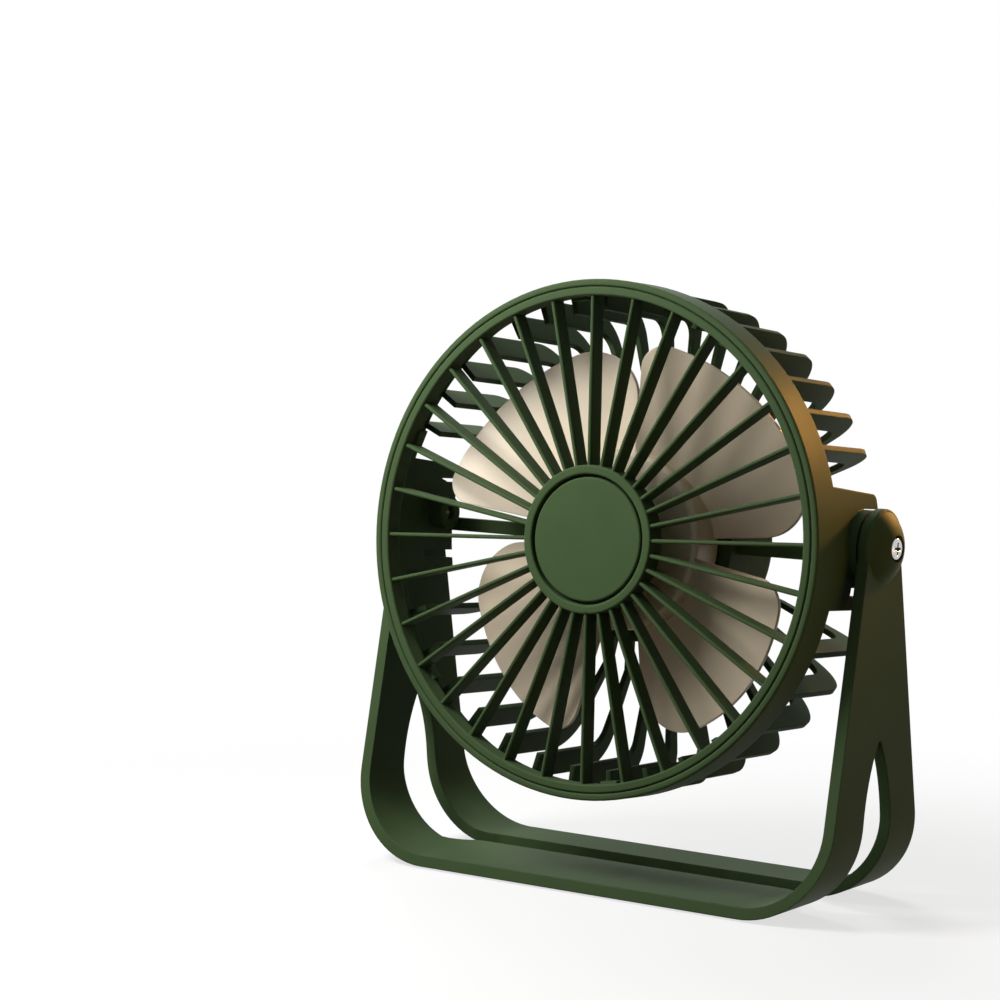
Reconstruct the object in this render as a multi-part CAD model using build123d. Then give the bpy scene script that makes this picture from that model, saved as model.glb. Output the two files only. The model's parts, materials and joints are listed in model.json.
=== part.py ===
from build123d import *
import os
from math import asin, cos, degrees, radians, sin, tan

# A rechargeable desk fan: a round head held between the arms of a U-shaped stand.
# Millimetres. +Z is up and the fan blows towards -Y. The origin is on the floor, under the pivot axis.

# Stand: one moulded strip bent into a U, with tapered arms
arm_gap = 3.1
stand_thickness = 3.7
corner_radius = 29.3
base_half_depth = 33.5
arm_half_depth = 10.7
arm_top_radius = 12.0
pivot_height = 114.3
stand_edge_radius = 0.9

# Slot that splits each arm and the base into a front and a rear strip
slot_half_width = 9.4
slot_middle = 0.6
slot_spring_height = 24.0
slot_apex_height = 55.6
slot_apex_radius = 1.2
base_slot_front = 0.7
base_slot_rear = 13.5
base_slot_half_length = 60.0
slot_turn_length = 8.0
slot_turn_radius = 5.0

# Dome on the outside of each arm top, part of a ball, with a recess for the screw head
dome_height = 4.7
dome_recess_radius = 4.2
dome_recess_depth = 3.0

# Rubber feet let into the underside of the base
foot_radius = 5.0
foot_recess = 0.8
foot_proud = 0.5
foot_chamfer = 0.3
foot_spacing = 84.0
front_foot_inset = 11.0
rear_foot_inset = 9.5

# Pivot: a screw through each arm into a threaded insert in the head
pivot_screw_radius = 2.0
pivot_screw_length = 13.0
pivot_head_radius = 3.5
pivot_head_height = 2.4
pivot_head_round = 0.8
pivot_cross_length = 3.9
pivot_cross_width = 1.0
pivot_cross_depth = 1.4
insert_radius = 3.0
insert_length = 8.0
washer_radius = 9.0
washer_thickness = 0.8
pivot_boss_radius = 11.3
insert_boss_radius = 5.5
insert_boss_extra = 2.0

# Head: pose and place of its axis
head_tilt = 4.0
head_drop = 3.9

# Rim band of the rear cage
band_radius = 82.0
band_wall = 2.2
band_front = 31.5
band_length = 13.0
band_edge_radius = 0.8
ledge_width = 2.2
ledge_thickness = 1.5

# Front grille
grille_ring_width = 2.7
grille_ring_depth = 6.0
grille_edge_chamfer = 0.4
spoke_count = 32
spoke_turn = 2.8
spoke_width = 1.3
spoke_depth = 6.0
spoke_setback = 0.8
spoke_root = 0.4
hub_radius = 23.5
hub_depth = 7.2
hub_rim_width = 2.9
hub_setback = 0.3
hub_floor = 3.0
hub_edge_radius = 0.6
snap_count = 6
snap_width = 6.0
snap_thickness = 1.3
snap_reach = 1.0
snap_height = 1.4

# Centre cap
cap_groove = 0.9
cap_setback = 0.5
cap_edge_radius = 0.7
cap_peg_radius = 3.0

# Rear ribs: flat bent plates from the band back and in to the pod, with a broad rounded corner.
# They lean in towards the rear. Their backs are flat as far as a knee and then run in to the pod.
upper_rib_count = 16
lower_rib_count = 14
rib_thickness = 1.8
rib_root_depth = 8.0
rib_corner_depth = 8.0
rib_corner_back_depth = 5.5
rib_back_depth = 3.2
rib_rear = -22.2
rib_pod_rear = -15.5
rib_knee_radius = 46.0
rib_inset = 0.8
rib_lean = 1.2
rib_outer_round = 12.0
rib_inner_round = 6.0
strut_height = 4.3
strut_depth = 7.5

# Side tab behind the band: a tongue that carries the pivot boss, and a rail above and below it past a slot
tongue_rise = 10.3
tongue_fall = 12.8
upper_tab_slot = 1.2
upper_slot_front = 0.0
upper_rail_height = 4.5
lower_tab_slot = 2.6
lower_slot_front = 7.0
lower_rail_height = 4.4
tab_taper = 1.9
tab_rear = -9.5
tab_corner_radius = 2.0

# Motor plate and rear pod
pod_radius = 33.0
pod_wall = 2.0
plate_front = -3.5
plate_thickness = 2.5
pod_split = -17.0
pod_rear = -34.0
pod_edge_radius = 5.0
lip_height = 2.0
lip_thickness = 0.7

# Screws that hold the rear cover
column_count = 3
column_radius = 3.2
column_merge = 0.6
cover_screw_radius = 1.25
cover_screw_length = 18.0
cover_head_radius = 2.5
cover_head_height = 1.8
cover_recess_depth = 5.0
cover_cross_length = 2.8
cover_cross_width = 0.7
cover_cross_depth = 1.1

# Motor: outer rotor on a sleeve bearing
shaft_radius = 1.5
shaft_front = 15.0
shaft_tail = 1.0
sleeve_radius = 3.6
sleeve_length = 14.0
tube_wall = 0.9
tube_flange_radius = 7.0
tube_flange_thickness = 0.8
tooth_count = 9
tooth_width = 3.6
stator_radius = 22.0
stator_hub_radius = 9.0
shoe_thickness = 2.5
shoe_angle = 32.0
core_rear = 0.5
core_thickness = 6.0
coil_inner_radius = 12.0
coil_build = 1.7
coil_end_build = 1.8
air_gap = 0.6
magnet_thickness = 2.6
yoke_thickness = 1.6
magnet_rear = -0.5
magnet_length = 9.0
clip_radius = 3.2
clip_thickness = 0.8
clip_gap = 0.2
thrust_thickness = 0.5
thrust_radius = 3.4

# Rotor: hub and four broad blades
rotor_hub_radius = 29.0
rotor_hub_rear = -1.5
rotor_hub_front = 12.0
rotor_front_wall = 2.0
rotor_edge_radius = 2.0
rotor_boss_radius = 5.0
rotor_boss_front = 16.0
rotor_end_play = 0.4
blade_count = 4
blade_first_angle = 43.4
blade_tip_radius = 64.5
blade_span_angle = 77.0
blade_root_pitch = 17.0
blade_tip_pitch = 14.0
blade_thickness = 1.5
blade_camber = 2.2
blade_leading_round = 16.0
blade_trailing_round = 8.0
blade_root_middle = 4.8
blade_tip_middle = 6.0

# Battery and electronics in the pod
battery_width = 38.0
battery_height = 28.0
battery_thickness = 10.0
battery_edge_radius = 2.0
battery_post_height = 3.5
battery_post_radius = 1.5
battery_post_inset = 3.0
foam_width = 22.0
foam_height = 16.0
foam_thickness = 3.5
board_radius = 23.8
board_thickness = 1.2
board_tab_width = 12.0
board_tab_gap = 1.2
board_screw_radius = 1.0
board_screw_length = 5.0
board_head_radius = 1.9
board_head_height = 1.2
board_cross_length = 2.1
board_cross_width = 0.5
board_cross_depth = 0.6
board_screw_spacing = 31.0
board_screw_height = 9.0
board_post_radius = 2.4
component_margin = 4.0
component_spacing = 18.0
chip_width = 5.0
chip_height = 4.0
chip_thickness = 1.4
coil_case_size = 6.0
coil_case_height = 2.4
coil_case_round = 1.2
capacitor_radius = 2.0
capacitor_height = 2.6
usb_width = 8.9
usb_height = 3.2
usb_length = 7.3
usb_wall = 0.35
usb_back_wall = 0.7
usb_tongue_width = 6.6
usb_tongue_thickness = 0.7
usb_tongue_length = 5.0
usb_recess = 0.4
usb_margin = 0.35
switch_size = 6.0
switch_height = 3.4
plunger_radius = 1.7
plunger_height = 1.2
led_size = 1.6
led_height = 0.8
lens_radius = 1.4
lens_height = -7.0
lens_flange = 0.6
lead_radius = 0.6
lead_spacing = 2.6
motor_lead_drop = 15.2
battery_lead_rise = 4.0
battery_lead_setback = 3.0
battery_lead_bend = 2.5

# Power button
button_radius = 6.0
button_proud = 1.0
button_edge_radius = 0.8
button_flange = 1.2
button_flange_thickness = 1.0
button_travel = 0.8

# How far joined shapes run into each other, and how far cuts run past a face
bite = 1.0

# Clearances
running_fit = 0.06
seat_fit = 0.03
loose_fit = 0.3
thread_fit = 0.02
snap_fit = 0.2
screw_clearance = 0.15

# Worked out from the sizes above
dome_radius = arm_top_radius - stand_edge_radius
dome_ball_radius = (dome_radius ** 2 + dome_height ** 2) / (2 * dome_height)
arm_inner = band_radius + arm_gap
stand_half_width = arm_inner + stand_thickness
band_inner = band_radius - band_wall
band_rear = band_front - band_length
grille_radius = band_inner - snap_fit
grille_inner = grille_radius - grille_ring_width
grille_rear = band_front - grille_ring_depth
ledge_inner = band_inner - ledge_width
hub_front = band_front - hub_setback
hub_rear = hub_front - hub_depth
cap_seat = hub_rear + hub_floor
pocket_radius = hub_radius - hub_rim_width
boss_outer = arm_inner - washer_thickness
tongue_top = head_drop + tongue_rise
tongue_bottom = head_drop - tongue_fall
tab_top = tongue_top + upper_tab_slot + upper_rail_height
tab_root_top = tab_top + tab_taper
tab_bottom = tongue_bottom - lower_tab_slot - lower_rail_height
rib_outer_radius = band_radius - rib_inset
rib_corner_radius = rib_outer_radius - rib_lean
plate_rear = plate_front - plate_thickness
pod_inner = pod_radius - pod_wall
column_circle = pod_inner - column_radius + column_merge
cover_inner_face = pod_rear + pod_wall
tube_inner = sleeve_radius + seat_fit
tube_radius = tube_inner + tube_wall
sleeve_front = plate_rear + sleeve_length
clip_front = plate_rear - clip_gap
clip_rear = clip_front - clip_thickness
core_front = core_rear + core_thickness
magnet_inner = stator_radius + air_gap
yoke_inner = magnet_inner + magnet_thickness + seat_fit
yoke_radius = yoke_inner + yoke_thickness
rotor_bore = yoke_radius + seat_fit
rotor_boss_rear = sleeve_front + thrust_thickness + rotor_end_play
battery_front = plate_rear - battery_post_height
battery_rear = battery_front - battery_thickness
board_front = battery_rear - foam_thickness
board_rear = board_front - board_thickness
switch_rear = board_rear - switch_height
plunger_rear = switch_rear - plunger_height
usb_mouth = usb_recess - pod_radius
usb_middle = board_rear - usb_height / 2
button_middle = board_screw_height


# Head pieces are modelled round the fan axis: x to the right, y up, z forward of the pivot plane.
# This place carries them to the pivot and tilts them.
axis_plane = Plane(origin=(0, 0, -head_drop), x_dir=(1, 0, 0), z_dir=(0, -1, 0))
head_place = Pos(0, 0, pivot_height) * Rot(-head_tilt, 0, 0) * axis_plane.location


def drum(radius, low, high):
    """A round bar along the fan axis from low to high."""
    return Pos(0, 0, low) * Cylinder(radius, high - low, align=(Align.CENTER, Align.CENTER, Align.MIN))


def ring(outer, inner, low, high):
    """A round tube along the fan axis from low to high."""
    return drum(outer, low, high) - drum(inner, low, high)


def block(width, height, low, high, x=0, y=0):
    """A box along the fan axis, centred on x and y."""
    box = Box(width, height, high - low, align=(Align.CENTER, Align.CENTER, Align.MIN))
    return Pos(x, y, low) * box


def around(piece, angles):
    """Copies of a piece turned about the fan axis."""
    return [Rot(0, 0, angle) * piece for angle in angles]


def even_angles(count, first=0.0):
    """Evenly spaced angles round a full turn."""
    return [first + 360.0 / count * index for index in range(count)]


def cross_pivot(piece, side):
    """Turns a piece made along z so that z points outwards along the pivot axis of one side."""
    return Pos(0, head_drop, 0) * Rot(0, 90 * side, 0) * piece


def cross_recess(length, width, depth):
    """The cross cut into a screw head, open towards +z at z = 0."""
    bar = Box(length, width, depth, align=(Align.CENTER, Align.CENTER, Align.MAX))
    return bar + Rot(0, 0, 90) * bar


# Stand

def slot_in_arm():
    """The pointed slot through one arm and its corner, as a bar along +x."""
    low = (-slot_half_width, 0)
    front = (-slot_half_width, slot_spring_height)
    apex = (0, slot_apex_height)
    rear = (slot_half_width, slot_spring_height)
    rise = slot_apex_height - slot_spring_height
    arch = (slot_half_width ** 2 + rise ** 2) / (2 * slot_half_width)
    outline = Line(low, front) + RadiusArc(front, apex, arch) + RadiusArc(apex, rear, arch)
    outline += Polyline(rear, (slot_half_width, 0), low)
    face = make_face(outline)
    tip = face.vertices().sort_by(Axis.Y)[-1]
    face = fillet(tip, slot_apex_radius)
    start = base_slot_half_length + slot_turn_length
    return extrude(Plane.YZ.offset(start) * Pos(slot_middle, 0) * face, stand_half_width)


def slot_in_base():
    """The slot through the base, which widens and moves forward as it nears the corners."""
    half = base_slot_half_length
    turn = half + slot_turn_length
    end = turn + slot_turn_length
    arm_front = slot_middle - slot_half_width
    arm_rear = slot_middle + slot_half_width
    right = [(half, base_slot_front), (turn, arm_front), (end, arm_front)]
    right += [(end, arm_rear), (turn, arm_rear), (half, base_slot_rear)]
    left = [(-x, y) for x, y in reversed(right)]
    face = make_face(Polyline(*right, *left, close=True))
    turns = [v for v in face.vertices() if abs(v.X) < end - bite]
    face = fillet(turns, slot_turn_radius)
    return extrude(face, corner_radius)


def stand_frame():
    height = pivot_height + arm_top_radius - foot_proud
    outer = Pos(0, foot_proud + height / 2) * Rectangle(2 * stand_half_width, height)
    outer = fillet(outer.vertices().group_by(Axis.Y)[0], corner_radius)
    inner = Pos(0, foot_proud + stand_thickness + height / 2) * Rectangle(2 * arm_inner, height)
    inner = fillet(inner.vertices().group_by(Axis.Y)[0], corner_radius - stand_thickness)
    strip = extrude(Plane.XZ * (outer - inner), 2 * base_half_depth, both=True)

    foot_corners = [(-base_half_depth, foot_proud), (base_half_depth, foot_proud)]
    top_corners = [(arm_half_depth, pivot_height), (-arm_half_depth, pivot_height)]
    side = make_face(Polyline(*foot_corners, *top_corners, close=True))
    frame = strip & extrude(Plane.YZ * side, 2 * stand_half_width, both=True)
    for sloped_face in (frame.faces().sort_by(Axis.Y)[0], frame.faces().sort_by(Axis.Y)[-1]):
        rim = [e for e in sloped_face.edges() if e.center().Z < pivot_height - stand_edge_radius]
        frame = fillet(rim, stand_edge_radius)
    arm_slot = slot_in_arm()
    frame -= slot_in_base() + arm_slot + mirror(arm_slot, Plane.YZ)

    arm_top = Cylinder(arm_top_radius, stand_thickness, align=(Align.CENTER, Align.CENTER, Align.MAX))
    arm_top = fillet(arm_top.edges().filter_by(GeomType.CIRCLE), stand_edge_radius)
    dome = Cylinder(dome_radius, dome_height, align=(Align.CENTER, Align.CENTER, Align.MIN))
    dome &= Pos(0, 0, dome_height - dome_ball_radius) * Sphere(dome_ball_radius)
    recess_floor = dome_height - dome_recess_depth
    recess = Pos(0, 0, recess_floor) * Cylinder(
        dome_recess_radius, dome_height, align=(Align.CENTER, Align.CENTER, Align.MIN)
    )
    hole = Cylinder(pivot_screw_radius + running_fit, 2 * (stand_thickness + dome_height))
    for side_sign in (-1, 1):
        place = Pos(side_sign * stand_half_width, 0, pivot_height) * Rot(0, 90 * side_sign, 0)
        frame += [place * arm_top, place * dome]
        frame -= place * recess
        frame -= place * hole
    for x, y in foot_places():
        frame -= Pos(x, y, 0) * Cylinder(foot_radius + seat_fit, 2 * (foot_proud + foot_recess))
    return frame


def foot_places():
    front = front_foot_inset - base_half_depth
    rear = base_half_depth - rear_foot_inset
    return [(x * foot_spacing / 2, y) for x in (-1, 1) for y in (front, rear)]


def foot_pads():
    pad = Cylinder(foot_radius, foot_proud + foot_recess, align=(Align.CENTER, Align.CENTER, Align.MIN))
    pad = chamfer(pad.edges().group_by(Axis.Z)[0], foot_chamfer)
    return [Pos(x, y, 0) * pad for x, y in foot_places()]


def friction_washers():
    washer = Cylinder(washer_radius, washer_thickness, align=(Align.CENTER, Align.CENTER, Align.MIN))
    washer -= Cylinder(pivot_screw_radius + loose_fit, 2 * (washer_thickness + bite))
    return [Pos(side * boss_outer, 0, pivot_height) * Rot(0, 90 * side, 0) * washer for side in (-1, 1)]


# Rear cage: one moulding that carries the rim, the ribs, the pivots and the motor

def rib_plate():
    pod_end = pod_inner + pod_wall / 4
    outer_corner = (rib_corner_radius, rib_rear)
    inner_corner = (rib_corner_radius - rib_corner_depth, rib_rear + rib_corner_back_depth)
    points = [
        (rib_outer_radius, band_rear + bite),
        outer_corner,
        (rib_knee_radius, rib_rear),
        (pod_end, rib_pod_rear),
        (pod_end, rib_pod_rear + rib_back_depth),
        (rib_knee_radius, rib_rear + rib_back_depth),
        inner_corner,
        (rib_outer_radius - rib_root_depth, band_rear + bite),
    ]
    face = make_face(Polyline(*points, close=True))
    for corner, rounding in ((outer_corner, rib_outer_round), (inner_corner, rib_inner_round)):
        face = fillet(face.vertices().sort_by_distance(corner)[0], rounding)
    return extrude(Plane.XZ * face, rib_thickness / 2, both=True)


def rib_angles():
    """Ribs spaced evenly over the top from tab to tab, and evenly underneath from tab to tab."""
    upper_start = degrees(asin(tab_root_top / rib_outer_radius))
    lower_start = degrees(asin(tab_bottom / rib_outer_radius))
    upper_pitch = (180.0 - 2 * upper_start) / (upper_rib_count + 1)
    lower_pitch = (180.0 + 2 * lower_start) / (lower_rib_count + 1)
    upper = [upper_start + upper_pitch * (index + 1) for index in range(upper_rib_count)]
    lower = [lower_start - lower_pitch * (index + 1) for index in range(lower_rib_count)]
    return upper + lower


def rim_band():
    """The round band, with the two tabs that reach back from it at the pivots."""
    rim = ring(band_radius, band_inner, tab_rear, band_front)
    rim = fillet(rim.edges().group_by(Axis.Z)[-1].sort_by(SortBy.RADIUS)[-1], band_edge_radius)
    rim = chamfer(rim.edges().group_by(Axis.Z)[-1].sort_by(SortBy.RADIUS)[0], grille_edge_chamfer)
    rear_edge = [(tab_bottom, tab_rear), (tab_top, tab_rear)]
    front_edge = [(tab_root_top, band_rear + bite), (tab_bottom, band_rear + bite)]
    side = make_face(Polyline(*rear_edge, *front_edge, close=True))
    side = fillet(side.vertices().group_by(Axis.Y)[0], tab_corner_radius)
    tabs = extrude(Plane.YZ * side, 2 * band_radius, both=True)
    away = ring(band_radius + bite, band_inner - bite, tab_rear - bite, band_rear) - tabs
    rim -= away
    upper_slot = (tongue_top + upper_tab_slot / 2, upper_tab_slot, upper_slot_front)
    lower_slot = (tongue_bottom - lower_tab_slot / 2, lower_tab_slot, lower_slot_front)
    for middle, height, front in (upper_slot, lower_slot):
        rim -= block(4 * band_radius, height, tab_rear - bite, front, 0, middle)
    return rim


def pivot_boss(side):
    """The round boss outside one tab and the narrower one inside it, and the bores through them."""
    inner_end = boss_outer - insert_length - insert_boss_extra
    in_wall = band_radius - band_wall / 2
    outside = cross_pivot(drum(pivot_boss_radius, 0, boss_outer), side)
    outside -= drum(in_wall, -band_radius, band_radius)
    inside = cross_pivot(drum(insert_boss_radius, inner_end, in_wall), side)
    bore = cross_pivot(drum(insert_radius + seat_fit, boss_outer - insert_length, boss_outer + bite), side)
    screw_way = cross_pivot(drum(pivot_screw_radius + loose_fit, inner_end - bite, boss_outer), side)
    return [outside, inside], [bore, screw_way]


def column_places():
    angles = even_angles(column_count, 90.0)
    return [(column_circle * cos(radians(a)), column_circle * sin(radians(a))) for a in angles]


def battery_post_places():
    x = battery_width / 2 - battery_post_inset
    y = battery_height / 2 - battery_post_inset
    return [(i * x, j * y) for i in (-1, 1) for j in (-1, 1)]


def rear_cage():
    ledge = ring(band_inner + band_wall / 2, ledge_inner, grille_rear - ledge_thickness, grille_rear)
    wall = ring(pod_radius, pod_inner, pod_split, plate_front)
    plate = drum(pod_radius - pod_wall / 2, plate_rear, plate_front)
    pieces = [ledge, wall, plate] + around(rib_plate(), rib_angles())

    strut_start = pod_radius - pod_wall / 2
    strut_length = band_radius - band_wall / 2 - strut_start
    strut_middle = strut_start + strut_length / 2
    strut = block(strut_length, strut_height, rib_pod_rear, rib_pod_rear + strut_depth, strut_middle)
    pieces += [strut, mirror(strut, Plane.YZ)]
    for x, y in column_places():
        pieces.append(Pos(x, y, 0) * drum(column_radius, pod_split, plate_rear + bite))
    for x, y in battery_post_places():
        pieces.append(Pos(x, y, 0) * drum(battery_post_radius, battery_front, plate_rear + bite))

    cuts = [drum(tube_radius + seat_fit, plate_rear - bite, plate_front + bite)]
    lead_slot_width = 2 * (lead_spacing + lead_radius + loose_fit)
    lead_slot_height = 2 * (lead_radius + loose_fit)
    lead_slot = block(lead_slot_width, lead_slot_height, plate_rear - bite, plate_front + bite)
    cuts.append(Pos(0, -motor_lead_drop, 0) * lead_slot)
    for x, y in column_places():
        pilot = drum(cover_screw_radius + thread_fit, pod_split - bite, cover_screw_tip() + bite)
        cuts.append(Pos(x, y, 0) * pilot)
    for side in (-1, 1):
        bosses, bores = pivot_boss(side)
        pieces += bosses
        cuts += bores
    return rim_band() + pieces - cuts


def cover_screw_tip():
    """How far forward the cover screws reach."""
    return pod_rear + cover_recess_depth + cover_screw_length


def pivot_inserts():
    body = drum(insert_radius, boss_outer - insert_length, boss_outer)
    body -= drum(pivot_screw_radius + thread_fit, 0, boss_outer + bite)
    return [cross_pivot(body, side) for side in (-1, 1)]


def pivot_screws():
    seat = stand_half_width + dome_height - dome_recess_depth
    head = drum(pivot_head_radius, seat, seat + pivot_head_height)
    head = fillet(head.edges().group_by(Axis.Z)[-1], pivot_head_round)
    cross = cross_recess(pivot_cross_length, pivot_cross_width, pivot_cross_depth)
    head -= Pos(0, 0, seat + pivot_head_height) * cross
    screw = head + drum(pivot_screw_radius, seat - pivot_screw_length, seat)
    return [cross_pivot(screw, side) for side in (-1, 1)]


# Front grille and its centre cap

def front_grille():
    rim = ring(grille_radius, grille_inner, grille_rear, band_front)
    rim = chamfer(rim.edges().group_by(Axis.Z)[-1], grille_edge_chamfer)
    hub = drum(hub_radius, hub_rear, hub_front)
    hub -= drum(pocket_radius, cap_seat, hub_front + bite)
    hub = fillet(hub.edges().group_by(Axis.Z)[-1], hub_edge_radius)
    hub -= drum(cap_peg_radius + seat_fit, hub_rear - bite, cap_seat + bite)

    spoke_front = band_front - spoke_setback
    nose = spoke_width / 2
    section = Pos(0, spoke_front - nose) * Circle(nose)
    section += Pos(0, spoke_front - nose) * Rectangle(
        spoke_width, spoke_depth - nose, align=(Align.CENTER, Align.MAX)
    )
    start = hub_radius - hub_rim_width / 2
    length = grille_inner + spoke_root - start
    spoke_plane = Plane(origin=(start, 0, 0), x_dir=(0, 1, 0), z_dir=(1, 0, 0))
    spoke = extrude(spoke_plane * section, length)

    arm_low = grille_rear - ledge_thickness - snap_height - seat_fit
    hook_high = grille_rear - ledge_thickness - seat_fit
    arm_outer = ledge_inner - snap_fit
    arm = block(snap_thickness, snap_width, arm_low, grille_rear + bite, arm_outer - snap_thickness / 2)
    hook = block(snap_reach + snap_thickness, snap_width, arm_low, hook_high)
    hook = Pos(arm_outer + snap_reach - (snap_reach + snap_thickness) / 2, 0, 0) * hook
    snap = arm + hook
    spokes = around(spoke, even_angles(spoke_count, 90.0 + spoke_turn))
    half_gap = 180.0 / spoke_count
    snaps = around(snap, even_angles(snap_count, 90.0 + spoke_turn + half_gap))
    return rim + [hub] + spokes + snaps


def centre_cap():
    cap = drum(pocket_radius - cap_groove, cap_seat, hub_front - cap_setback)
    cap = fillet(cap.edges().group_by(Axis.Z)[-1], cap_edge_radius)
    return cap + drum(cap_peg_radius, hub_rear, cap_seat)


# Motor, fixed half

def bearing_tube():
    tube = ring(tube_radius, tube_inner, plate_rear, sleeve_front)
    return tube + ring(tube_flange_radius, tube_inner, plate_front, plate_front + tube_flange_thickness)


def sleeve_bearing():
    return ring(sleeve_radius, shaft_radius + running_fit, plate_rear, sleeve_front)


def thrust_washer():
    return ring(thrust_radius, shaft_radius + loose_fit, sleeve_front, sleeve_front + thrust_thickness)


def stator_core():
    hub = ring(stator_hub_radius, tube_radius + seat_fit, core_rear, core_front)
    tooth_start = stator_hub_radius - bite
    tooth_length = stator_radius - shoe_thickness / 2 - tooth_start
    tooth = block(tooth_length, tooth_width, core_rear, core_front, tooth_start + tooth_length / 2)
    half_shoe = stator_radius * sin(radians(shoe_angle / 2))
    shoe = ring(stator_radius, stator_radius - shoe_thickness, core_rear, core_front)
    shoe &= block(stator_radius, 2 * half_shoe, core_rear, core_front, stator_radius)
    return hub + around(tooth, tooth_angles()) + around(shoe, tooth_angles())


def tooth_angles():
    return even_angles(tooth_count, -90.0)


def stator_windings():
    way = tooth_width + 2 * seat_fit
    half_coil = way / 2 + coil_build
    shoe_inner = stator_radius - shoe_thickness
    coil_outer = (shoe_inner ** 2 - half_coil ** 2) ** 0.5 - loose_fit
    length = coil_outer - coil_inner_radius
    middle = coil_inner_radius + length / 2
    coil = block(length, 2 * half_coil, core_rear - coil_end_build, core_front + coil_end_build, middle)
    coil = fillet(coil.edges().filter_by(Axis.X), coil_build / 2)
    coil -= block(2 * length, way, core_rear - seat_fit, core_front + seat_fit, middle)
    return around(coil, tooth_angles())


def motor_leads():
    lead = drum(lead_radius, board_front, core_rear - coil_end_build)
    return [Pos(place * lead_spacing, -motor_lead_drop, 0) * lead for place in (-1, 0, 1)]


# Motor, turning half, and the rotor

def motor_shaft():
    return drum(shaft_radius, clip_rear - shaft_tail, shaft_front)


def shaft_clip():
    return ring(clip_radius, shaft_radius + seat_fit, clip_rear, clip_front)


def rotor_magnet():
    return ring(magnet_inner + magnet_thickness, magnet_inner, magnet_rear, magnet_rear + magnet_length)


def rotor_yoke():
    return ring(yoke_radius, yoke_inner, magnet_rear, rotor_hub_front - rotor_front_wall)


def blade_section(distance, half_width, middle, pitch):
    """A thin hollow-fronted section of the blade, square to the radius at one distance from the axis."""
    rise = half_width * tan(radians(pitch))
    half = blade_thickness / 2
    leading = blade_camber - rise
    trailing = blade_camber + rise
    front = ThreePointArc((-half_width, leading + half), (0, half), (half_width, trailing + half))
    rear = ThreePointArc((half_width, trailing - half), (0, -half), (-half_width, leading - half))
    trailing_edge = Line((half_width, trailing + half), (half_width, trailing - half))
    leading_edge = Line((-half_width, leading - half), (-half_width, leading + half))
    face = make_face(front + trailing_edge + rear + leading_edge)
    plane = Plane(origin=(distance, 0, middle), x_dir=(0, 1, 0), z_dir=(1, 0, 0))
    return plane * face


def blade_outline():
    """The blade seen along the axis. Its leading corner is rounder than its trailing corner."""
    half = blade_span_angle / 2
    root = rotor_hub_radius - bite
    tip = blade_tip_radius

    def at(radius, angle):
        return (radius * cos(radians(angle)), radius * sin(radians(angle)))

    outline = ThreePointArc(at(root, -half), at(root, 0), at(root, half))
    outline += Line(at(root, half), at(tip, half))
    outline += ThreePointArc(at(tip, half), at(tip, 0), at(tip, -half))
    outline += Line(at(tip, -half), at(root, -half))
    face = make_face(outline)
    for corner, rounding in ((at(tip, -half), blade_leading_round), (at(tip, half), blade_trailing_round)):
        face = fillet(face.vertices().sort_by_distance(corner)[0], rounding)
    return face


def fan_rotor():
    hub = drum(rotor_hub_radius, rotor_hub_rear, rotor_hub_front)
    hub = fillet(hub.edges().group_by(Axis.Z)[-1], rotor_edge_radius)
    hub -= drum(rotor_bore, rotor_hub_rear - bite, rotor_hub_front - rotor_front_wall)
    boss = drum(rotor_boss_radius, rotor_boss_rear, rotor_boss_front)

    near = rotor_hub_radius * cos(radians(blade_span_angle / 2)) - 2 * bite
    far = blade_tip_radius
    wide = blade_tip_radius * sin(radians(blade_span_angle / 2)) + bite
    sheet = loft([
        blade_section(near, wide, blade_root_middle, blade_root_pitch),
        blade_section(far, wide, blade_tip_middle, blade_tip_pitch),
    ])
    low = blade_root_middle - blade_tip_radius
    prism = Pos(0, 0, low) * extrude(blade_outline(), 2 * blade_tip_radius)
    blade = sheet & prism
    rotor = hub + [boss] + around(blade, even_angles(blade_count, blade_first_angle))
    return rotor - drum(shaft_radius + seat_fit, rotor_boss_rear - bite, rotor_boss_front + bite)


# Battery and electronics

def battery_cell():
    cell = block(battery_width, battery_height, battery_rear, battery_front)
    return fillet(cell.edges().filter_by(Axis.Z), battery_edge_radius)


def battery_foam():
    return block(foam_width, foam_height, board_front, battery_rear)


def battery_leads():
    start = (0, battery_height / 2, battery_front - battery_lead_setback)
    turn = (0, battery_height / 2 + battery_lead_rise, battery_front - battery_lead_setback)
    end = (0, battery_height / 2 + battery_lead_rise, board_front)
    path = FilletPolyline(start, turn, end, radius=battery_lead_bend)
    section = Plane(origin=start, z_dir=(0, 1, 0)) * Circle(lead_radius)
    lead = sweep(section, path=path)
    return [Pos(place * lead_spacing, 0, 0) * lead for place in (-1, 1)]


def board_screw_places():
    return [(side * board_screw_spacing / 2, board_screw_height) for side in (-1, 1)]


def control_board():
    tab_end = pod_inner - board_tab_gap
    tab = block(board_tab_width, tab_end, board_rear, board_front, 0, -tab_end / 2)
    board = drum(board_radius, board_rear, board_front) + tab
    for x, y in board_screw_places():
        hole = drum(board_screw_radius + screw_clearance, board_rear - bite, board_front + bite)
        board -= Pos(x, y, 0) * hole
    return board


def board_components():
    """A chip, a cased coil and a capacitor beside the foam."""
    row = -foam_height / 2 - component_margin
    reach = component_spacing / 2
    chip = block(chip_width, chip_height, board_front, board_front + chip_thickness, -reach, row)
    coil = block(coil_case_size, coil_case_size, board_front, board_front + coil_case_height, reach, row)
    coil = fillet(coil.edges().filter_by(Axis.Z), coil_case_round)
    capacitor = drum(capacitor_radius, board_front, board_front + capacitor_height)
    return [chip, coil, Pos(foam_width / 2 + component_margin, 0, 0) * capacitor]


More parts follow.
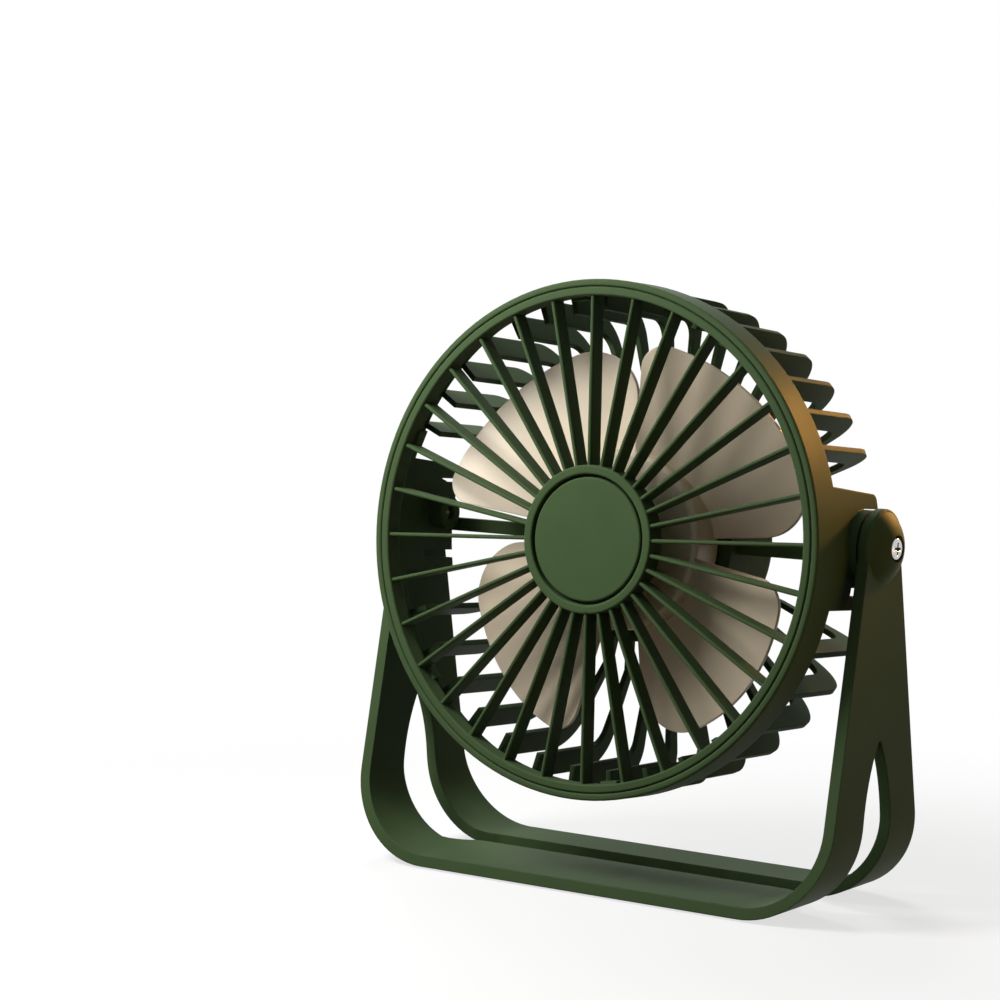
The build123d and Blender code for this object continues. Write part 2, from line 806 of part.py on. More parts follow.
def board_screws():
    head = drum(board_head_radius, board_front, board_front + board_head_height)
    cross = cross_recess(board_cross_length, board_cross_width, board_cross_depth)
    head -= Pos(0, 0, board_front + board_head_height) * cross
    screw = head + drum(board_screw_radius, board_front - board_screw_length, board_front)
    return [Pos(x, y, 0) * screw for x, y in board_screw_places()]


def usb_shell(width, height, length):
    """A flat bar with round ends along +y, standing on y = 0."""
    return extrude(Plane.XZ * SlotOverall(width, height), -length)


def usb_socket():
    shell = usb_shell(usb_width, usb_height, usb_length)
    shell -= usb_shell(usb_width - 2 * usb_wall, usb_height - 2 * usb_wall, usb_length - usb_back_wall)
    tongue = Box(usb_tongue_width, usb_tongue_length, usb_tongue_thickness)
    tongue = Pos(0, usb_length - usb_tongue_length / 2, 0) * tongue
    return Pos(0, usb_mouth, usb_middle) * (shell + tongue)


def switch_body():
    body = block(switch_size, switch_size, switch_rear, board_rear)
    floor = switch_rear + bite + button_travel + loose_fit
    body -= drum(plunger_radius + loose_fit, switch_rear - bite, floor)
    return Pos(0, button_middle, 0) * body


def indicator_led():
    return block(led_size, led_size, board_rear - led_height, board_rear, 0, lens_height)


def indicator_lens():
    lens = drum(lens_radius, pod_rear, board_rear - led_height - loose_fit)
    lens += drum(lens_radius + lens_flange, cover_inner_face, cover_inner_face + lens_flange)
    return Pos(0, lens_height, 0) * lens


# Rear cover and button

def rear_cover():
    shell = drum(pod_radius, pod_rear, pod_split)
    shell = fillet(shell.edges().group_by(Axis.Z)[0], pod_edge_radius)
    hollow = drum(pod_inner, cover_inner_face, pod_split + bite)
    hollow = fillet(hollow.edges().group_by(Axis.Z)[0], pod_edge_radius - pod_wall)
    lip_outer = pod_inner - snap_fit
    lip_inner = lip_outer - lip_thickness
    lip_front = pod_split + lip_height
    lip = ring(lip_outer, lip_inner, pod_split - lip_height, lip_front)
    lip += ring(pod_inner + pod_wall / 2, lip_inner, pod_split - lip_height, pod_split)
    column_way = drum(column_radius + loose_fit, pod_split, lip_front + bite)
    lip -= [Pos(x, y, 0) * column_way for x, y in column_places()]
    cover = shell - hollow + lip

    post_foot = cover_inner_face - pod_wall / 2
    recess = drum(cover_head_radius + loose_fit, pod_rear - bite, pod_rear + cover_recess_depth)
    screw_way = drum(cover_screw_radius + screw_clearance, pod_rear, pod_split + bite)
    for x, y in column_places():
        cover += Pos(x, y, 0) * drum(column_radius, post_foot, pod_split)
        cover -= Pos(x, y, 0) * (recess + screw_way)
    pilot = drum(board_screw_radius + thread_fit, board_front - board_screw_length - bite, board_rear + bite)
    for x, y in board_screw_places():
        cover += Pos(x, y, 0) * drum(board_post_radius, post_foot, board_rear)
        cover -= Pos(x, y, 0) * pilot
    button_way = drum(button_radius + loose_fit, pod_rear - bite, cover_inner_face + bite)
    lens_way = drum(lens_radius + seat_fit, pod_rear - bite, cover_inner_face + bite)
    cover -= [Pos(0, button_middle, 0) * button_way, Pos(0, lens_height, 0) * lens_way]
    port = usb_shell(usb_width + 2 * usb_margin, usb_height + 2 * usb_margin, pod_wall + 2 * bite)
    return cover - Pos(0, -pod_radius - bite, usb_middle) * port


def cover_screws():
    seat = pod_rear + cover_recess_depth
    head = drum(cover_head_radius, seat - cover_head_height, seat)
    cross = cross_recess(cover_cross_length, cover_cross_width, cover_cross_depth)
    head -= Pos(0, 0, seat - cover_head_height) * Rot(180, 0, 0) * cross
    screw = head + drum(cover_screw_radius, seat, cover_screw_tip())
    return [Pos(x, y, 0) * screw for x, y in column_places()]


def power_button():
    body = drum(button_radius, pod_rear - button_proud, plunger_rear)
    body = fillet(body.edges().group_by(Axis.Z)[0], button_edge_radius)
    flange_low = cover_inner_face + seat_fit
    flange = drum(button_radius + button_flange, flange_low, flange_low + button_flange_thickness)
    return Pos(0, button_middle, 0) * (body + flange)


def switch_plunger():
    return Pos(0, button_middle, 0) * drum(plunger_radius, plunger_rear, switch_rear + bite)


stand_nodes = {
    "stand_frame": stand_frame,
    "foot_pads": foot_pads,
    "friction_washers": friction_washers,
}
head_nodes = {
    "rear_cage": rear_cage,
    "front_grille": front_grille,
    "centre_cap": centre_cap,
    "pivot_screws": pivot_screws,
    "pivot_inserts": pivot_inserts,
    "bearing_tube": bearing_tube,
    "sleeve_bearing": sleeve_bearing,
    "thrust_washer": thrust_washer,
    "stator_core": stator_core,
    "stator_windings": stator_windings,
    "motor_leads": motor_leads,
    "battery_cell": battery_cell,
    "battery_foam": battery_foam,
    "battery_leads": battery_leads,
    "control_board": control_board,
    "board_components": board_components,
    "board_screws": board_screws,
    "usb_socket": usb_socket,
    "switch_body": switch_body,
    "indicator_led": indicator_led,
    "indicator_lens": indicator_lens,
    "rear_cover": rear_cover,
    "cover_screws": cover_screws,
    "fan_rotor": fan_rotor,
    "rotor_yoke": rotor_yoke,
    "rotor_magnet": rotor_magnet,
    "motor_shaft": motor_shaft,
    "shaft_clip": shaft_clip,
    "power_button": power_button,
    "switch_plunger": switch_plunger,
}

os.makedirs("parts", exist_ok=True)
for nodes, place in ((stand_nodes, Pos(0, 0, 0)), (head_nodes, head_place)):
    for name, make in nodes.items():
        made = make()
        solids = made if isinstance(made, list) else [made]
        placed = [place * solid for solid in solids]
        whole = placed[0] if len(placed) == 1 else Compound(children=placed)
        export_step(whole, f"parts/{name}.step")
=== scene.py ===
import json
import math

import bpy
from mathutils import Matrix, Vector


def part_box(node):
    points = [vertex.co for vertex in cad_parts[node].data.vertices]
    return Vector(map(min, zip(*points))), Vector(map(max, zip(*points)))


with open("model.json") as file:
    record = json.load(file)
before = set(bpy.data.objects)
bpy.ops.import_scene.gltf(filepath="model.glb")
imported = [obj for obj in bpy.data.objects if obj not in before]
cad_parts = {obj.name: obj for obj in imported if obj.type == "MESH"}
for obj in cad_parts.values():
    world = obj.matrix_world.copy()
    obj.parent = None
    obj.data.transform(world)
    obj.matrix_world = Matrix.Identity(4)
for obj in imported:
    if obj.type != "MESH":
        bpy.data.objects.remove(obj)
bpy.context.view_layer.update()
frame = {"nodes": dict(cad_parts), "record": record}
nodes = frame["nodes"]


# Stand: one strip of dark green plastic moulded as a U, with round tops on its arms.
# A slot splits it into a front and a rear strip along the base and up into the arms.
# The mould leaves a fine spark texture, and handling rubs the edges a little smoother and paler; the paler
# edges are also a painted highlight.

class Shade:
    """One socket among a material's nodes. Arithmetic on it adds Math nodes, and add() makes any other."""

    def __init__(self, tree, socket=None):
        self.tree = tree
        self.socket = socket

    def add(self, kind, settings, sockets, output=0):
        """A node of any kind, with its settings and then the values or links of its sockets."""
        node = self.tree.nodes.new(kind)
        for name, value in settings.items():
            if name == "stops":
                elements = node.color_ramp.elements
                while len(elements) < len(value):
                    elements.new(1.0)
                for element, (place, colour) in zip(elements, value):
                    element.position = place
                    element.color = rgba(colour)
            elif name == "ramp":
                node.color_ramp.interpolation = value
            else:
                setattr(node, name, value)
        for name, value in sockets.items():
            socket = next(s for s in node.inputs if s.identifier == name)
            if isinstance(value, Shade):
                self.tree.links.new(value.socket, socket)
            else:
                socket.default_value = value
        return Shade(self.tree, node.outputs[output]) if node.outputs else None

    def maths(self, operation, first, second=0.0):
        return self.add("ShaderNodeMath", {"operation": operation}, {"Value": first, "Value_001": second})

    def __add__(self, other):
        return self.maths("ADD", self, other)

    __radd__ = __add__

    def __sub__(self, other):
        return self.maths("SUBTRACT", self, other)

    def __rsub__(self, other):
        return self.maths("SUBTRACT", other, self)

    def __mul__(self, other):
        return self.maths("MULTIPLY", self, other)

    __rmul__ = __mul__

    def __lt__(self, other):
        return self.maths("LESS_THAN", self, other)

    def __gt__(self, other):
        return self.maths("GREATER_THAN", self, other)

    def __abs__(self):
        return self.maths("ABSOLUTE", self)

    def swing(self, amount):
        """A value from 0 to 1 made to swing about 0, by half the amount each way."""
        return amount * (self - 0.5)

    def place(self):
        """The place on the piece, in metres."""
        return self.add("ShaderNodeTexCoord", {}, {}, "Object")

    def offset(self, place, middle):
        """The way to a place from a fixed point."""
        sockets = {"Vector": place, "Vector_001": tuple(middle)}
        return self.add("ShaderNodeVectorMath", {"operation": "SUBTRACT"}, sockets)

    def along(self, vector, other):
        """How far a vector reaches along another."""
        sockets = {"Vector": vector, "Vector_001": other if isinstance(other, Shade) else tuple(other)}
        return self.add("ShaderNodeVectorMath", {"operation": "DOT_PRODUCT"}, sockets, "Value")

    def across(self, vector):
        """How far a vector reaches to the right of the fan."""
        return self.add("ShaderNodeSeparateXYZ", {}, {"Vector": vector}, "X")

    def noise(self, place, size, detail=2.0):
        """Soft noise from 0 to 1 with lumps of about one size, in metres."""
        return self.add("ShaderNodeTexNoise", {}, {"Vector": place, "Scale": 1.0 / size, "Detail": detail})

    def step(self, value, low, high):
        """0 below low and 1 above high, with a soft rise between."""
        settings = {"interpolation_type": "SMOOTHSTEP"}
        return self.add("ShaderNodeMapRange", settings, {"Value": value, "From Min": low, "From Max": high})

    def mix(self, factor, first, second):
        """A colour between two colours."""
        sockets = {"Factor_Float": factor, "A_Color": first, "B_Color": second}
        return self.add("ShaderNodeMix", {"data_type": "RGBA"}, sockets, 2)

    def shades(self, factor, colour, darkest, palest=1.0):
        """A colour that varies between two shares of itself."""
        return self.mix(factor, rgba(colour, darkest), rgba(colour, palest))

    def relief(self, height, depth, strength, rounded=None):
        """The normal of a surface with fine relief, on edges that may be rounded off."""
        sockets = {"Height": height, "Distance": depth, "Strength": strength}
        if rounded is not None:
            sockets["Normal"] = rounded
        return self.add("ShaderNodeBump", {}, sockets)


def new_material(name):
    """An empty material, with the start of its nodes and a way to set its surface."""
    material = bpy.data.materials.new(name)
    material.use_nodes = True
    material.node_tree.nodes.clear()
    start = Shade(material.node_tree)

    def surface(sockets):
        shader = start.add("ShaderNodeBsdfPrincipled", {}, sockets)
        start.add("ShaderNodeOutputMaterial", {}, {"Surface": shader})
        return material

    return start, surface


def rgba(colour, share=1.0):
    return (*(channel * share for channel in colour), 1.0)


def edge_of(start, radius):
    """How near a surface is to an edge, from 0 to 1, and the normal that rounds the edge off."""
    rounded = start.add("ShaderNodeBevel", {"samples": 4}, {"Radius": radius})
    flat = start.add("ShaderNodeNewGeometry", {}, {}, "Normal")
    return start.step(1.0 - start.along(rounded, flat), low=0.01, high=0.2), rounded


hand_mark_size = 0.022
rub_mark_size = 0.006
rub_and_sheen_paleness = 0.10


def moulded_plastic(name, colour, roughness, grain_size, grain_depth, edge_radius, rubbed_and_sheen, gloss):
    """Moulded plastic with a fine mould texture, faint handling marks, and edges painted paler as wear from
    rubbing and as a painted highlight.
    """
    start, surface = new_material(name)
    place = start.place()
    grain = start.noise(place, grain_size)
    handling = start.noise(place, hand_mark_size, detail=4.0)
    patches = start.noise(place, rub_mark_size, detail=3.0)
    edge, rounded = edge_of(start, edge_radius)
    # Edges painted paler in patches: wear from rubbing, and also a painted highlight along them.
    worn_and_sheen = edge * start.step(patches, low=0.35, high=0.7) * rubbed_and_sheen
    body = start.shades(handling, colour, darkest=0.86, palest=1.14)
    pale = tuple(0.6 * channel + rub_and_sheen_paleness for channel in colour)
    return surface({
        "Base Color": start.mix(worn_and_sheen, body, rgba(pale)),
        "Roughness": roughness + handling.swing(0.16) + grain.swing(0.10) - 0.08 * worn_and_sheen,
        "Specular IOR Level": gloss,
        "Normal": start.relief(grain, grain_depth, strength=0.6, rounded=rounded),
    })


def dress(node, material):
    """Gives a node its material."""
    nodes[node].data.materials.clear()
    nodes[node].data.materials.append(material)


green_plastic = moulded_plastic(
    "green_plastic", (0.044, 0.073, 0.030), roughness=0.56, grain_size=0.00032, grain_depth=0.00003,
    edge_radius=0.0007, rubbed_and_sheen=0.35, gloss=0.04,
)
dress("stand_frame", green_plastic)


# Foot pads: four black rubber discs glued into round seats in the underside of the base.
# Cut from sheet, so they are dull and finely pitted, with dust pressed into them.

dust_colour = (0.16, 0.15, 0.14)
dust_size = 0.0016


def soft_rubber(name, colour, roughness, pit_size, pit_depth):
    """Dull rubber or foam with fine pits and pale dust."""
    start, surface = new_material(name)
    place = start.place()
    pits = start.add("ShaderNodeTexVoronoi", {}, {"Vector": place, "Scale": 1.0 / pit_size})
    dust = start.step(start.noise(place, dust_size, detail=4.0), low=0.52, high=0.8)
    return surface({
        "Base Color": start.mix(0.5 * dust, rgba(colour), rgba(dust_colour)),
        "Roughness": roughness + pits.swing(0.1),
        "Normal": start.relief(pits, pit_depth, strength=0.8),
    })


foot_rubber = soft_rubber(
    "foot_rubber", (0.016, 0.016, 0.016), roughness=0.78, pit_size=0.0004, pit_depth=0.00004,
)
dress("foot_pads", foot_rubber)


# Friction washers: two discs of pale nylon, one between each arm and the head.
# They are stamped from sheet, and the turning of the head scuffs them.

cloud_size = 0.003
scuff_size = 0.0005
scuff_depth = 0.00002
glow_depth = (0.0006, 0.0005, 0.0004)


def nylon(name, colour):
    """Pale waxy nylon or resin, a little cloudy and scuffed."""
    start, surface = new_material(name)
    place = start.place()
    cloud = start.noise(place, cloud_size, detail=3.0)
    scuffs = start.noise(place, scuff_size, detail=3.0)
    return surface({
        "Base Color": start.shades(cloud, colour, darkest=0.88),
        "Roughness": 0.36 + scuffs.swing(0.2),
        "Subsurface Weight": 0.15,
        "Subsurface Radius": glow_depth,
        "Normal": start.relief(scuffs, scuff_depth, strength=0.3),
    })


washer_nylon = nylon("washer_nylon", (0.62, 0.60, 0.55))
dress("friction_washers", washer_nylon)


# Rear cage: one green moulding that carries the rim band, the ribs, the pivot bosses and the motor plate.
# It is the same plastic as the stand.

dress("rear_cage", green_plastic)


# Pivot inserts: brass bushes pressed hot into the bosses of the cage.
# Turned from bar, with fine rings left by the tool and a brown bloom.

grime_and_shade_colour = (0.012, 0.010, 0.008)
grime_and_shade_reach = 0.0012
bloom_size = 0.0035
metal_edge_radius = 0.00025
tool_mark_depth = 0.00001
wave_length = 0.314


def turned_metal(name, colour, roughness, ring_pitch, tarnish, grime_and_shade):
    """Turned or drawn metal with fine tool lines, patches of tarnish, a painted highlight on its edges, and
    recesses darkened by dirt and painted shade.
    """
    start, surface = new_material(name)
    place = start.place()
    lines = start.add("ShaderNodeTexWave", {"wave_profile": "SIN"}, {
        "Vector": place, "Scale": wave_length / ring_pitch,
        "Distortion": 1.5, "Detail": 2.0, "Detail Scale": 2.0,
    }, 1)
    bloom = start.step(start.noise(place, bloom_size, detail=4.0), low=0.4, high=0.75)
    edge, rounded = edge_of(start, metal_edge_radius)
    # Recesses darkened by ambient occlusion: dirt, and also painted shade.
    settings = {"samples": 8, "only_local": True}
    openness = start.add("ShaderNodeAmbientOcclusion", settings, {"Distance": grime_and_shade_reach}, "AO")
    grime_and_shade_share = grime_and_shade * (1.0 - start.step(openness, low=0.3, high=0.9))
    body = start.mix(tarnish * bloom, rgba(colour), rgba(colour, 0.45))
    body = start.mix(grime_and_shade_share, body, rgba(grime_and_shade_colour))
    # Edges painted paler: a painted highlight.
    edge_highlight_colour = tuple(0.5 * channel + 0.45 for channel in colour)
    return surface({
        "Base Color": start.mix(0.4 * edge, body, rgba(edge_highlight_colour)),
        "Metallic": 1.0 - grime_and_shade_share,
        "Roughness": roughness + bloom.swing(0.18) + lines.swing(0.08) + 0.3 * grime_and_shade_share,
        "Normal": start.relief(lines, tool_mark_depth, strength=0.25, rounded=rounded),
    })


insert_brass = turned_metal(
    "insert_brass", (0.66, 0.47, 0.19), roughness=0.3, ring_pitch=0.0002, tarnish=0.5, grime_and_shade=0.3,
)
dress("pivot_inserts", insert_brass)


# Motor, fixed half: a brass tube staked into the motor plate holds an oil-soaked bronze sleeve.
# A nylon washer takes the rotor's thrust, and a stack of stamped steel teeth carries the copper coils.

bearing_bronze = turned_metal(
    "bearing_bronze", (0.34, 0.21, 0.10), roughness=0.42, ring_pitch=0.0003, tarnish=0.8, grime_and_shade=0.3,
)
dress("bearing_tube", insert_brass)
dress("sleeve_bearing", bearing_bronze)
dress("thrust_washer", washer_nylon)

spin = next(joint for joint in frame["record"]["behaviour"]["joints"] if joint["name"] == "rotor_spin")
forward = Vector(spin["axis"])
varnish_stain_size = 0.003
sheet_gap_depth = 0.00005


def stacked_steel(name, colour, sheet):
    """Stamped steel sheets in a stack, with a dark line between them and a thin varnish."""
    start, surface = new_material(name)
    place = start.place()
    layer = start.maths("FRACT", start.along(place, forward) * (1.0 / sheet))
    gap = 1.0 - start.step(layer, low=0.0, high=0.18)
    stain = start.noise(place, varnish_stain_size, detail=3.0)
    body = start.shades(stain, colour, darkest=0.8, palest=1.2)
    return surface({
        "Base Color": start.mix(gap, body, rgba(colour, 0.2)),
        "Metallic": 0.85,
        "Roughness": 0.42 + stain.swing(0.2),
        "Coat Weight": 0.3,
        "Normal": start.relief(1.0 - gap, sheet_gap_depth, strength=0.5),
    })


dress("stator_core", stacked_steel("core_steel", (0.28, 0.28, 0.30), sheet=0.0005))

enamel_shade_size = 0.002


def wound_wire(name, colour, wire):
    """Enamelled wire laid in close turns, with painted shade in the grooves between them."""
    start, surface = new_material(name)
    place = start.place()
    height = start.maths("PINGPONG", start.along(place, forward), wire / 2) * (2.0 / wire)
    # The grooves between turns are painted darker: painted shade.
    between = 1.0 - start.step(height, low=0.0, high=0.5)
    shade = start.noise(place, enamel_shade_size, detail=3.0)
    body = start.shades(shade, colour, darkest=0.8, palest=1.15)
    return surface({
        "Base Color": start.mix(between, body, rgba(colour, 0.25)),
        "Metallic": 0.9,
        "Roughness": 0.26 + shade.swing(0.1),
        "Coat Weight": 0.5,
        "Normal": start.relief(height, wire / 2, strength=0.9),
    })


dress("stator_windings", wound_wire("winding_copper", (0.58, 0.22, 0.08), wire=0.0004))


# Leads: thin stranded wires in coloured sleeves, soldered to the board.
# The motor has three and the battery two, told apart by the colour of their sleeves.

lead_pitch = 0.0026
lead_share = 0.25
smudge_size = 0.001
smudge_depth = 0.00002


def sleeved_lead(name, left, middle, right):
    """Soft sleeving whose colour goes by the lead's place in the row."""
    start, surface = new_material(name)
    place = start.place()
    share = 0.5 + start.across(place) * (lead_share / lead_pitch)
    stops = [(0.0, left), (0.5 - lead_share / 2, middle), (0.5 + lead_share / 2, right)]
    smudge = start.noise(place, smudge_size, detail=3.0)
    return surface({
        "Base Color": start.add("ShaderNodeValToRGB", {"stops": stops, "ramp": "CONSTANT"}, {"Fac": share}),
        "Roughness": 0.34 + smudge.swing(0.16),
        "Normal": start.relief(smudge, smudge_depth, strength=0.2),
    })


red_sleeve = (0.42, 0.02, 0.015)
black_sleeve = (0.015, 0.015, 0.016)
white_sleeve = (0.6, 0.6, 0.56)
dress("motor_leads", sleeved_lead("motor_lead_sleeve", red_sleeve, white_sleeve, black_sleeve))
dress("battery_leads", sleeved_lead("battery_lead_sleeve", red_sleeve, red_sleeve, black_sleeve))


# Motor, turning half: a plated steel yoke inside the hub holds a ring magnet of sintered ferrite.
# The ground steel shaft is pressed into the hub, and a spring clip keeps it in the sleeve.

yoke_steel = turned_metal(
    "yoke_steel", (0.46, 0.46, 0.45), roughness=0.34, ring_pitch=0.0004, tarnish=0.4, grime_and_shade=0.2,
)
magnet_ferrite = soft_rubber(
    "magnet_ferrite", (0.030, 0.030, 0.033), roughness=0.55, pit_size=0.0003, pit_depth=0.00001,
)
bright_steel = turned_metal(
    "bright_steel", (0.62, 0.61, 0.60), roughness=0.26, ring_pitch=0.00025, tarnish=0.25, grime_and_shade=0.6,
)
dress("rotor_yoke", yoke_steel)
dress("rotor_magnet", magnet_ferrite)
dress("motor_shaft", bright_steel)
dress("shaft_clip", bright_steel)


# Rotor: hub and four broad blades in one moulding of pale beige plastic.
# The blades are smooth, thin and a little glossy, and paler along their edges, as wear and as a painted
# highlight.

rotor_plastic = moulded_plastic(
    "rotor_plastic", (0.62, 0.52, 0.39), roughness=0.40, grain_size=0.0006, grain_depth=0.00001,
    edge_radius=0.0006, rubbed_and_sheen=0.15, gloss=0.4,
)
dress("fan_rotor", rotor_plastic)


# Front grille and centre cap: green mouldings like the cage. The grille snaps into the rim with six hooks.
# The cap is a plain disc pegged into the grille's hub, with a narrow groove round it.

dress("front_grille", green_plastic)
dress("centre_cap", green_plastic)


# Battery and its pad: a pouch cell in satin foil, held by a block of dark foam against the board.
# The foil has soft creases and the foam an open cell.

crease_size = 0.004
crease_depth = 0.0003
foil_grain_size = 0.0006


def pouch_foil(name, colour):
    """Satin foil with soft creases, painted darker in their hollows as painted shade."""
    start, surface = new_material(name)
    place = start.place()
    # The creases drive both the relief and a painted shade in their hollows.
    creases = start.noise(place, crease_size, detail=5.0)
    fine = start.noise(place, foil_grain_size, detail=2.0)
    return surface({
        "Base Color": start.shades(creases, colour, darkest=0.82),
        "Metallic": 0.9,
        "Roughness": 0.32 + fine.swing(0.2),
        "Normal": start.relief(creases + 0.1 * fine, crease_depth, strength=0.5),
    })


pad_foam = soft_rubber("pad_foam", (0.045, 0.045, 0.045), roughness=0.9, pit_size=0.0007, pit_depth=0.0003)
dress("battery_cell", pouch_foil("cell_foil", (0.62, 0.63, 0.66)))
dress("battery_foam", pad_foam)


# Control board: a disc of glass laminate under green lacquer, screwed to posts in the rear cover.
# Copper tracks show through the lacquer. It carries a chip, a cased coil, a capacitor and the push switch,
# and also the indicator and the charging socket, a steel shell round a black tongue with gold contacts.

track_cells_per_metre = 260.0
weave_size = 0.0004
track_depth = 0.00004


def lacquered_board(name, colour):
    """Green lacquer over laminate, with tracks that show as paler raised lines."""
    start, surface = new_material(name)
    place = start.place()
    cells = {"Vector": place, "Scale": track_cells_per_metre}
    from_track = start.add("ShaderNodeTexVoronoi", {"feature": "DISTANCE_TO_EDGE"}, cells)
    track = 1.0 - start.step(from_track, low=0.03, high=0.06)
    weave = start.noise(place, weave_size, detail=2.0)
    return surface({
        "Base Color": start.shades(track, colour, darkest=0.8, palest=1.7),
        "Roughness": 0.28 + weave.swing(0.1),
        "Coat Weight": 0.4,
        "Normal": start.relief(track + 0.15 * weave, track_depth, strength=0.4),
    })


black_plastic = moulded_plastic(
    "black_plastic", (0.014, 0.014, 0.015), roughness=0.38, grain_size=0.0002, grain_depth=0.00001,
    edge_radius=0.0002, rubbed_and_sheen=0.1, gloss=0.5,
)
dress("control_board", lacquered_board("board_lacquer", (0.012, 0.075, 0.026)))
dress("board_components", black_plastic)
dress("board_screws", bright_steel)
dress("switch_body", black_plastic)
dress("switch_plunger", black_plastic)
dress("indicator_led", nylon("led_resin", (0.8, 0.76, 0.5)))

tongue_half_width = 0.0034
tongue_half_thickness = 0.0004
contact_pitch = 0.0005
drawn_mark_size = 0.0005
drawn_mark_depth = 0.00001
socket_low, socket_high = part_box("usb_socket")
socket_middle = (socket_low + socket_high) / 2


def charging_socket(name, steel, tongue, contact):
    """A drawn steel shell round a black tongue with a row of gold contacts."""
    start, surface = new_material(name)
    place = start.place()
    from_middle = start.offset(place, socket_middle)
    across = start.across(from_middle)
    deep = start.along(from_middle, forward)
    on_tongue = (abs(across) < tongue_half_width) * (abs(deep) < tongue_half_thickness)
    row = start.maths("PINGPONG", across, contact_pitch / 2) * (2.0 / contact_pitch)
    on_contact = on_tongue * start.step(row, low=0.35, high=0.5)
    drawn = start.noise(place, drawn_mark_size, detail=3.0)
    shell = start.shades(drawn, steel, darkest=0.85)
    body = start.mix(on_tongue, shell, rgba(tongue))
    return surface({
        "Base Color": start.mix(on_contact, body, rgba(contact)),
        "Metallic": 1.0 - on_tongue + on_contact,
        "Roughness": 0.26 + drawn.swing(0.14) + 0.15 * on_tongue,
        "Normal": start.relief(drawn, drawn_mark_depth, strength=0.2),
    })


socket_steel = (0.70, 0.70, 0.69)
tongue_black = (0.015, 0.015, 0.016)
contact_gold = (0.80, 0.55, 0.20)
dress("usb_socket", charging_socket("charging_socket", socket_steel, tongue_black, contact_gold))


# Rear cover: a green cup screwed to the back of the cage with three steel screws in deep recesses.
# The clear light guide of the indicator comes through it below the power button.

haze_size = 0.0008
hazy_clear = (0.86, 0.90, 0.88)
bright_clear = (0.95, 0.97, 0.96)


def clear_guide(name):
    """Clear moulded plastic with a faint haze."""
    start, surface = new_material(name)
    haze = start.noise(start.place(), haze_size, detail=3.0)
    return surface({
        "Base Color": start.mix(haze, rgba(hazy_clear), rgba(bright_clear)),
        "Roughness": 0.12 + 0.14 * haze,
        "Transmission Weight": 0.85,
        "IOR": 1.49,
    })


dress("rear_cover", green_plastic)
dress("cover_screws", bright_steel)
dress("indicator_lens", clear_guide("lens_clear"))


# Power button: a round green button with a satin top that pushes the switch on the board.
# A plain ring and bar for power is printed on it in pale ink, a little worn by fingers.

button_colour = (0.055, 0.088, 0.054)
mark_ink = (0.55, 0.58, 0.54)
mark_radius = 0.0021
mark_line = 0.0005
mark_gap = 0.0016
bar_low = 0.0005
bar_high = 0.0027
finger_mark_size = 0.002
button_grain_size = 0.0004
button_grain_depth = 0.00001
button_edge_radius = 0.0005
button_low, button_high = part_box("power_button")
button_middle = (button_low + button_high) / 2
head_up = forward.cross(Vector((1.0, 0.0, 0.0)))


def printed_button(name, colour, ink):
    """Satin plastic with the ring and bar printed on it."""
    start, surface = new_material(name)
    place = start.place()
    from_middle = start.offset(place, button_middle)
    across = start.across(from_middle)
    rise = start.along(from_middle, head_up)
    away = start.maths("SQRT", across * across + rise * rise)
    on_ring = abs(away - mark_radius) < mark_line / 2
    in_gap = (abs(across) < mark_gap / 2) * (rise > 0.0)
    on_bar = (abs(across) < mark_line / 2) * (rise > bar_low) * (rise < bar_high)
    mark = start.maths("MAXIMUM", on_ring * (1.0 - in_gap), on_bar)
    handling = start.noise(place, finger_mark_size, detail=4.0)
    grain = start.noise(place, button_grain_size)
    edge, rounded = edge_of(start, button_edge_radius)
    body = start.shades(handling, colour, darkest=0.86, palest=1.14)
    # The edge is painted paler: a painted highlight.
    body = start.mix(0.3 * edge, body, rgba(colour, 1.8))
    printed = mark * (1.0 - 0.4 * start.step(handling, low=0.5, high=0.8))
    return surface({
        "Base Color": start.mix(printed, body, rgba(ink)),
        "Roughness": 0.40 + handling.swing(0.16) + 0.1 * mark,
        "Specular IOR Level": 0.35,
        "Normal": start.relief(grain, button_grain_depth, strength=0.6, rounded=rounded),
    })


dress("power_button", printed_button("button_plastic", button_colour, mark_ink))


# Pivot screws: plated steel screws with a domed head and a cross recess, through each arm into the inserts.
# The plating is bright, with turned rings, and its recess darkened by a little dirt and painted shade.

screw_plating = turned_metal(
    "screw_plating", (0.56, 0.56, 0.55), roughness=0.24, ring_pitch=0.0002, tarnish=0.3, grime_and_shade=0.8,
)
dress("pivot_screws", screw_plating)


# Floor: a studio floor that runs to a white background and keeps the fan's shadow close to it.
# The light that it throws up at the fan is dim and warm.

scene = bpy.context.scene
scene.view_settings.view_transform = "Standard"
white = (1.0, 1.0, 1.0)
floor_reach = 15.0
floor_drop = 0.0002
floor_colour = (0.80, 0.80, 0.80)
floor_cloud_size = 0.4
bounce_colour = (0.12, 0.09, 0.06)
shadow_share = 0.3
fade_start = 0.10
fade_end = 0.34


def seen_directly(start):
    """1 for what the camera sees, straight or in metal and glass, and 0 for light that falls on the fan."""
    camera = start.add("ShaderNodeLightPath", {}, {}, "Is Camera Ray")
    glossy = start.add("ShaderNodeLightPath", {}, {}, "Is Glossy Ray")
    through = start.add("ShaderNodeLightPath", {}, {}, "Is Transmission Ray")
    return start.maths("MAXIMUM", camera, start.maths("MAXIMUM", glossy, through))


